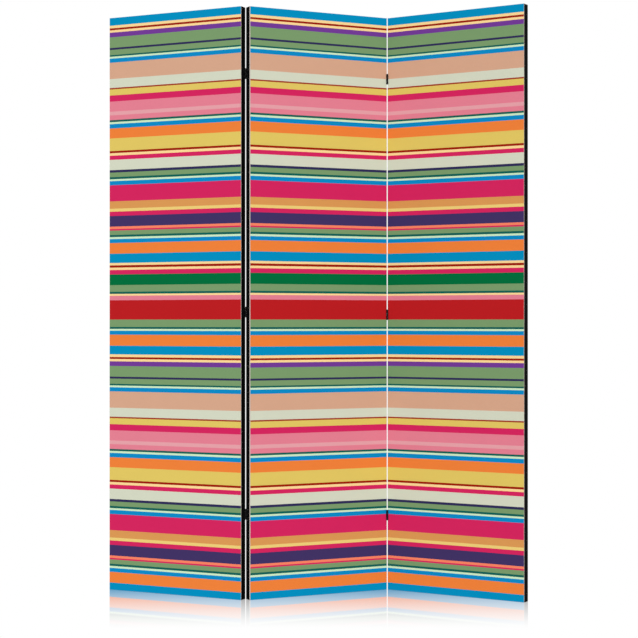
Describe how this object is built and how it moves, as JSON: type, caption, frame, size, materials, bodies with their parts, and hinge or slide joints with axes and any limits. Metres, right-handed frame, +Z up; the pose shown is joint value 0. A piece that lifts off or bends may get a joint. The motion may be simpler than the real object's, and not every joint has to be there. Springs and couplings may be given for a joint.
{
  "type": "folding screen",
  "caption": "Free-standing folding screen with tall hinged panels, each a black wooden frame with colourful striped printed canvas on both faces, standing in a zigzag.",
  "frame": {"origin": "floor level, at the middle of the bounding box as the screen stands", "axes": "+Z up, +X to the right along the screen, +Y to its back"},
  "size_m": [1.232, 0.2612, 1.72],
  "materials": {
    "printed_canvas": "fine woven canvas with a matt print of level stripes in many colours",
    "black_frame": "black stained pine, satin",
    "hinge_metal": "blackened steel, satin",
    "screws": "blackened steel, satin"
  },
  "bodies": {
    "middle_panel": {"left_seam_bottom_leaf_middle": "hinge_metal", "left_seam_bottom_pin": "hinge_metal", "left_seam_middle_leaf_middle": "hinge_metal", "left_seam_middle_pin": "hinge_metal", "left_seam_screws_middle": "screws", "left_seam_top_leaf_middle": "hinge_metal", "left_seam_top_pin": "hinge_metal", "middle_canvas_back": "printed_canvas", "middle_canvas_front": "printed_canvas", "middle_rail_bottom": "black_frame", "middle_rail_top": "black_frame", "middle_stile_left": "black_frame", "middle_stile_right": "black_frame", "right_seam_bottom_leaf_middle": "hinge_metal", "right_seam_bottom_pin": "hinge_metal", "right_seam_middle_leaf_middle": "hinge_metal", "right_seam_middle_pin": "hinge_metal", "right_seam_screws_middle": "screws", "right_seam_top_leaf_middle": "hinge_metal", "right_seam_top_pin": "hinge_metal"},
    "left_panel": {"left_canvas_back": "printed_canvas", "left_canvas_front": "printed_canvas", "left_rail_bottom": "black_frame", "left_rail_top": "black_frame", "left_seam_bottom_leaf_left": "hinge_metal", "left_seam_middle_leaf_left": "hinge_metal", "left_seam_screws_left": "screws", "left_seam_top_leaf_left": "hinge_metal", "left_stile_left": "black_frame", "left_stile_right": "black_frame"},
    "right_panel": {"right_canvas_back": "printed_canvas", "right_canvas_front": "printed_canvas", "right_rail_bottom": "black_frame", "right_rail_top": "black_frame", "right_seam_bottom_leaf_right": "hinge_metal", "right_seam_middle_leaf_right": "hinge_metal", "right_seam_screws_right": "screws", "right_seam_top_leaf_right": "hinge_metal", "right_stile_left": "black_frame", "right_stile_right": "black_frame"}
  },
  "joints": [
    {"name": "left_fold", "type": "hinge", "parent": "middle_panel", "child": "left_panel", "pos_m": [-0.19908, -0.06469, 0.86], "axis": [0, 0, 1], "range_deg": [-128, 52]},
    {"name": "right_fold", "type": "hinge", "parent": "middle_panel", "child": "right_panel", "pos_m": [0.21943, 0.10606, 0.86], "axis": [0, 0, 1], "range_deg": [-122, 58]}
  ]
}
